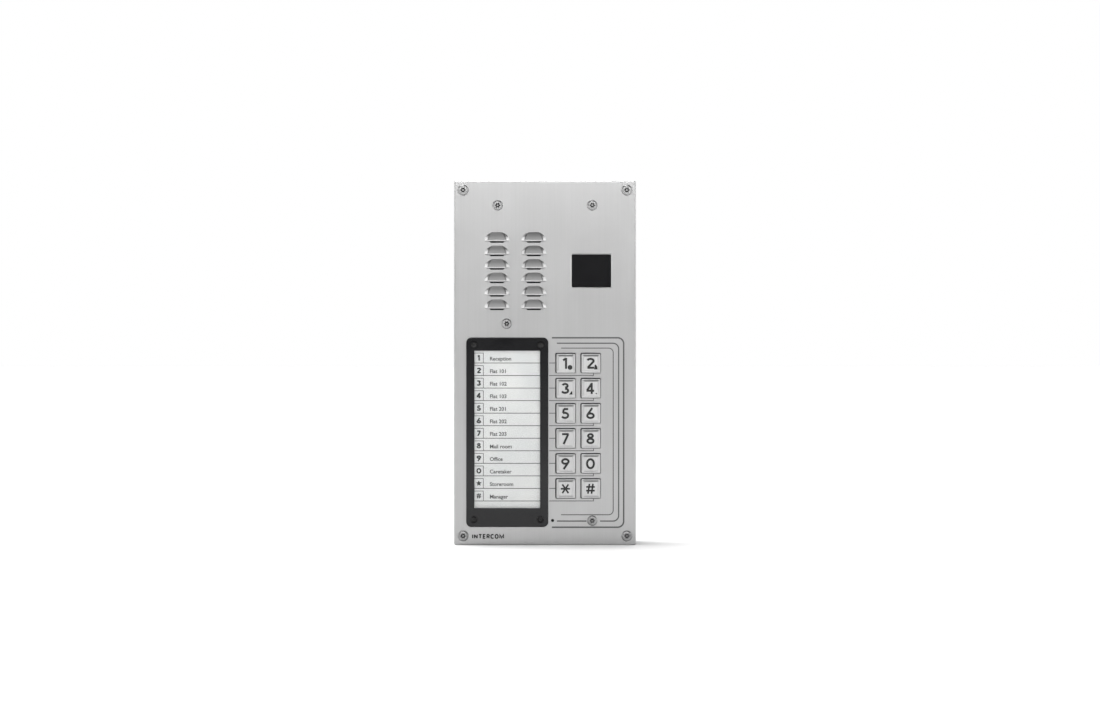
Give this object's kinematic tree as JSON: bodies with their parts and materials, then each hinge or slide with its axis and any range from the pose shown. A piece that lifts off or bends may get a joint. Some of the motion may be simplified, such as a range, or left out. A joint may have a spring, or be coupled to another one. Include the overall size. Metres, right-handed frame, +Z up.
{
  "type": "door intercom panel",
  "caption": "Brushed steel entry intercom panel with louvred speaker, camera window, name directory and square push keys on a shallow steel wall box.",
  "frame": {"origin": "centre of the wall box's back face, where it rests on the wall", "axes": "+X to the right seen from the front, +Y from the front into the wall, +Z up"},
  "size_m": [0.127, 0.0563, 0.254],
  "materials": {
    "stainless_brushed": "vertical brushed grain, satin",
    "stainless_screw": "turned, satin",
    "key_metal": "cast and satin plated",
    "zinc_steel": "zinc plated, semi-bright",
    "box_paint": "fine-textured black powder coat",
    "black_rubber": "matte",
    "grey_silicone": "matte",
    "bezel_plastic": "polished black",
    "black_screw": "black oxide",
    "clear_pane": "clear polished",
    "smoked_pane": "smoked, polished",
    "lens_glass": "coated",
    "card_paper": "smooth white card",
    "black_plastic": "moulded, matte",
    "grey_plastic": "moulded, matte",
    "green_plastic": "moulded, matte",
    "blue_plastic": "moulded, matte",
    "white_plastic": "moulded, matte",
    "board_laminate": "solder-masked laminate",
    "weather_membrane": "thin black acoustic membrane",
    "cone_paper": "pulp cone",
    "ferrite": "sintered, dull",
    "capacitor_can": "sleeved can",
    "led_resin": "dark tinted resin",
    "lead_insulation": "insulated lead"
  },
  "bodies": {
    "panel": {"back_box": "box_paint", "bezel_clinch_nuts": "zinc_steel", "bezel_screws": "black_screw", "board_connectors": "white_plastic", "board_screws": "zinc_steel", "board_standoffs": "zinc_steel", "box_clinch_nuts": "zinc_steel", "cable_grommet": "black_rubber", "camera_board": "board_laminate", "camera_gasket": "black_rubber", "camera_lens": "lens_glass", "camera_lens_barrel": "black_plastic", "camera_lights": "led_resin", "camera_shroud": "black_plastic", "camera_window": "smoked_pane", "capacitors": "capacitor_can", "chassis_screws": "stainless_screw", "directory_bezel": "bezel_plastic", "directory_card": "card_paper", "directory_window": "clear_pane", "faceplate": "stainless_brushed", "faceplate_gasket": "black_rubber", "faceplate_screws": "stainless_screw", "flat_cables": "grey_plastic", "keypad_backplate": "zinc_steel", "keypad_board": "board_laminate", "keypad_housing": "black_plastic", "keypad_membrane": "grey_silicone", "main_board": "board_laminate", "microphone_boot": "black_rubber", "microphone_capsule": "black_plastic", "plate_studs": "zinc_steel", "processor_chips": "black_plastic", "relay": "black_plastic", "signal_leads": "lead_insulation", "speaker_basket": "zinc_steel", "speaker_clips": "zinc_steel", "speaker_cone": "cone_paper", "speaker_gasket": "black_rubber", "speaker_magnet": "ferrite", "speaker_weather_membrane": "weather_membrane", "speaker_yoke": "zinc_steel", "stud_nuts": "zinc_steel", "terminal_block": "green_plastic", "terminal_screws": "zinc_steel", "trimmer_bodies": "blue_plastic"},
    "key_1": {"key_1": "key_metal"},
    "key_2": {"key_2": "key_metal"},
    "key_3": {"key_3": "key_metal"},
    "key_4": {"key_4": "key_metal"},
    "key_5": {"key_5": "key_metal"},
    "key_6": {"key_6": "key_metal"},
    "key_7": {"key_7": "key_metal"},
    "key_8": {"key_8": "key_metal"},
    "key_9": {"key_9": "key_metal"},
    "key_0": {"key_0": "key_metal"},
    "key_star": {"key_star": "key_metal"},
    "key_hash": {"key_hash": "key_metal"},
    "speaker_volume_rotor": {"speaker_volume_rotor": "white_plastic"},
    "microphone_gain_rotor": {"microphone_gain_rotor": "white_plastic"}
  },
  "joints": [
    {"name": "key_1_press", "type": "slide", "parent": "panel", "child": "key_1", "axis": [0, 1, 0], "range_m": [0, 0.0012], "stiffness_N_per_m": 600, "springref_m": -0.001, "deforming": ["keypad_membrane"]},
    {"name": "key_2_press", "type": "slide", "parent": "panel", "child": "key_2", "axis": [0, 1, 0], "range_m": [0, 0.0012], "stiffness_N_per_m": 600, "springref_m": -0.001, "deforming": ["keypad_membrane"]},
    {"name": "key_3_press", "type": "slide", "parent": "panel", "child": "key_3", "axis": [0, 1, 0], "range_m": [0, 0.0012], "stiffness_N_per_m": 600, "springref_m": -0.001, "deforming": ["keypad_membrane"]},
    {"name": "key_4_press", "type": "slide", "parent": "panel", "child": "key_4", "axis": [0, 1, 0], "range_m": [0, 0.0012], "stiffness_N_per_m": 600, "springref_m": -0.001, "deforming": ["keypad_membrane"]},
    {"name": "key_5_press", "type": "slide", "parent": "panel", "child": "key_5", "axis": [0, 1, 0], "range_m": [0, 0.0012], "stiffness_N_per_m": 600, "springref_m": -0.001, "deforming": ["keypad_membrane"]},
    {"name": "key_6_press", "type": "slide", "parent": "panel", "child": "key_6", "axis": [0, 1, 0], "range_m": [0, 0.0012], "stiffness_N_per_m": 600, "springref_m": -0.001, "deforming": ["keypad_membrane"]},
    {"name": "key_7_press", "type": "slide", "parent": "panel", "child": "key_7", "axis": [0, 1, 0], "range_m": [0, 0.0012], "stiffness_N_per_m": 600, "springref_m": -0.001, "deforming": ["keypad_membrane"]},
    {"name": "key_8_press", "type": "slide", "parent": "panel", "child": "key_8", "axis": [0, 1, 0], "range_m": [0, 0.0012], "stiffness_N_per_m": 600, "springref_m": -0.001, "deforming": ["keypad_membrane"]},
    {"name": "key_9_press", "type": "slide", "parent": "panel", "child": "key_9", "axis": [0, 1, 0], "range_m": [0, 0.0012], "stiffness_N_per_m": 600, "springref_m": -0.001, "deforming": ["keypad_membrane"]},
    {"name": "key_0_press", "type": "slide", "parent": "panel", "child": "key_0", "axis": [0, 1, 0], "range_m": [0, 0.0012], "stiffness_N_per_m": 600, "springref_m": -0.001, "deforming": ["keypad_membrane"]},
    {"name": "key_star_press", "type": "slide", "parent": "panel", "child": "key_star", "axis": [0, 1, 0], "range_m": [0, 0.0012], "stiffness_N_per_m": 600, "springref_m": -0.001, "deforming": ["keypad_membrane"]},
    {"name": "key_hash_press", "type": "slide", "parent": "panel", "child": "key_hash", "axis": [0, 1, 0], "range_m": [0, 0.0012], "stiffness_N_per_m": 600, "springref_m": -0.001, "deforming": ["keypad_membrane"]},
    {"name": "speaker_volume_turn", "type": "hinge", "parent": "panel", "child": "speaker_volume_rotor", "pos_m": [-0.02, -0.0215, 0.092], "axis": [0, 1, 0], "range_deg": [-135, 135]},
    {"name": "microphone_gain_turn", "type": "hinge", "parent": "panel", "child": "microphone_gain_rotor", "pos_m": [0.02, -0.0215, 0.092], "axis": [0, 1, 0], "range_deg": [-135, 135]}
  ]
}
